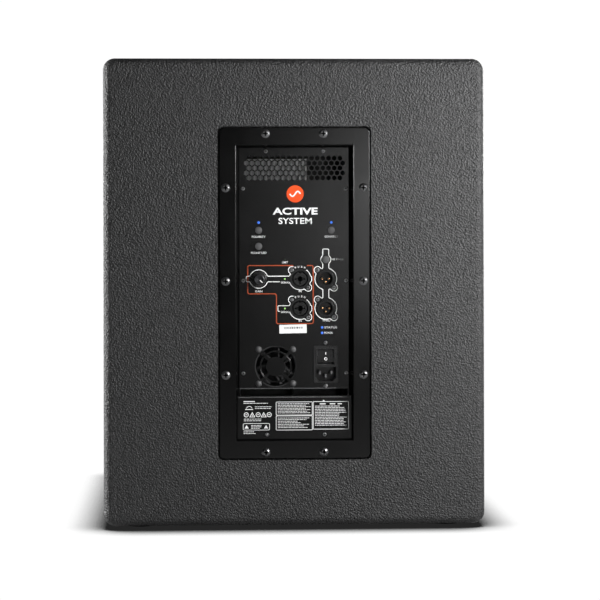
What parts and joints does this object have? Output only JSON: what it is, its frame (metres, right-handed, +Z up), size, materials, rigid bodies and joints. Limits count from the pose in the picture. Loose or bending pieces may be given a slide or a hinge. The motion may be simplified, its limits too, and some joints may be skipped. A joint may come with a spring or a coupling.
{
  "type": "powered subwoofer",
  "caption": "Black powered subwoofer cabinet with a recessed rear amplifier panel, side handles, pole socket, feet and a front grille.",
  "frame": {"origin": "middle of the footprint, on the floor", "axes": "+Z up, the grille faces -Y, the amplifier panel faces +Y"},
  "size_m": [0.454, 0.6, 0.56],
  "materials": {
    "coated_plywood": "black sprayed coat with an orange-peel texture",
    "inner_plywood": "black-stained plywood",
    "grille_steel": "satin black powder coat",
    "grille_foam": "black open-cell foam",
    "black_screws": "black-oxide steel",
    "badge_plastic": "gloss black",
    "rubber": "black rubber",
    "socket_steel": "satin black",
    "handle_plastic": "fine-grained black",
    "grip_rubber": "grooved soft rubber",
    "cast_basket": "black painted casting",
    "motor_steel": "plated steel",
    "magnet_ferrite": "ground ferrite",
    "surround_cloth": "coated cloth",
    "spider_cloth": "phenolic cloth",
    "cone_paper": "ribbed pulp, coated black",
    "coil_copper": "wound copper on a former",
    "lead_sleeve": "black sleeve",
    "frame_moulding": "satin black",
    "panel_sheet": "matte black powder coat with printed legends",
    "tub_steel": "zinc-plated sheet",
    "heat_sink_metal": "extruded",
    "circuit_boards": "green solder mask",
    "transformer_ferrite": "ferrite and tape",
    "blue_light": "lit blue",
    "green_light": "lit green",
    "control_plastic": "grey",
    "connector_plastic": "black",
    "contact_metal": "gold plated",
    "fan_plastic": "black",
    "inlet_plastic": "black"
  },
  "bodies": {
    "cabinet": {"top_panel": "coated_plywood", "bottom_panel": "coated_plywood", "left_side_panel": "coated_plywood", "right_side_panel": "coated_plywood", "rear_panel": "coated_plywood", "front_baffle": "inner_plywood", "port_shelf": "inner_plywood", "port_divider": "inner_plywood", "window_brace": "inner_plywood", "grille_blocks": "inner_plywood", "front_grille": "grille_steel", "grille_foam": "grille_foam", "grille_screws": "black_screws", "cabinet_screws": "black_screws", "woofer_screws": "black_screws", "frame_screws": "black_screws", "panel_screws": "black_screws", "connector_screws": "black_screws", "front_badge": "badge_plastic", "rubber_feet": "rubber", "amp_gasket": "rubber", "fan_rivets": "rubber", "pole_socket": "socket_steel", "left_handle_cup": "handle_plastic", "right_handle_cup": "handle_plastic", "handle_grips": "grip_rubber", "woofer_basket": "cast_basket", "woofer_motor_steel": "motor_steel", "woofer_magnet": "magnet_ferrite", "woofer_surround": "surround_cloth", "woofer_spider": "spider_cloth", "woofer_lead": "lead_sleeve", "amp_frame": "frame_moulding", "control_panel": "panel_sheet", "label_plate": "panel_sheet", "amp_tub": "tub_steel", "heat_sink": "heat_sink_metal", "power_board": "circuit_boards", "input_board": "circuit_boards", "transformer": "transformer_ferrite", "blue_led_lenses": "blue_light", "signal_led_lenses": "green_light", "combo_jacks": "connector_plastic", "thru_connectors": "connector_plastic", "gain_pot": "connector_plastic", "contact_pins": "contact_metal", "fan_housing": "fan_plastic", "inlet_housing": "inlet_plastic"},
    "driver_cone": {"woofer_cone": "cone_paper", "dust_cap": "cone_paper", "voice_coil": "coil_copper"},
    "cooling_fan": {"fan_rotor": "fan_plastic"},
    "gain_control": {"gain_knob": "control_plastic"},
    "power_switch": {"power_rocker": "inlet_plastic"},
    "polarity_switch": {"polarity_button": "control_plastic"},
    "front_light_switch": {"front_light_button": "control_plastic"},
    "connect_switch": {"connect_button": "control_plastic"},
    "high_pass_switch": {"high_pass_button": "control_plastic"},
    "input_latch_a": {"latch_a": "connector_plastic"},
    "input_latch_b": {"latch_b": "connector_plastic"}
  },
  "joints": [
    {"name": "cone_excursion", "type": "slide", "parent": "cabinet", "child": "driver_cone", "axis": [0, -1, 0], "range_m": [-0.007, 0.007], "stiffness_N_per_m": 8000, "deforming": ["woofer_surround", "woofer_spider"]},
    {"name": "fan_spin", "type": "hinge", "parent": "cabinet", "child": "cooling_fan", "pos_m": [0.022, 0.27, 0.1923], "axis": [0, 1, 0], "continuous": true},
    {"name": "gain_turn", "type": "hinge", "parent": "cabinet", "child": "gain_control", "pos_m": [0.0421, 0.28, 0.2971], "axis": [0, 1, 0], "range_deg": [0, 270]},
    {"name": "power_rocker_tilt", "type": "hinge", "parent": "cabinet", "child": "power_switch", "pos_m": [-0.038, 0.2755, 0.2038], "axis": [-1, 0, 0], "range_deg": [0, 24]},
    {"name": "polarity_press", "type": "slide", "parent": "cabinet", "child": "polarity_switch", "axis": [0, -1, 0], "range_m": [0, 0.0015], "stiffness_N_per_m": 700, "springref_m": -0.0005},
    {"name": "front_light_press", "type": "slide", "parent": "cabinet", "child": "front_light_switch", "axis": [0, -1, 0], "range_m": [0, 0.0015], "stiffness_N_per_m": 700, "springref_m": -0.0005},
    {"name": "connect_press", "type": "slide", "parent": "cabinet", "child": "connect_switch", "axis": [0, -1, 0], "range_m": [0, 0.0015], "stiffness_N_per_m": 700, "springref_m": -0.0005},
    {"name": "high_pass_press", "type": "slide", "parent": "cabinet", "child": "high_pass_switch", "axis": [0, -1, 0], "range_m": [0, 0.0015], "stiffness_N_per_m": 700, "springref_m": -0.0005},
    {"name": "input_latch_a_press", "type": "slide", "parent": "cabinet", "child": "input_latch_a", "axis": [0, -1, 0], "range_m": [0, 0.0012], "stiffness_N_per_m": 700, "springref_m": -0.0005},
    {"name": "input_latch_b_press", "type": "slide", "parent": "cabinet", "child": "input_latch_b", "axis": [0, -1, 0], "range_m": [0, 0.0012], "stiffness_N_per_m": 700, "springref_m": -0.0005}
  ]
}
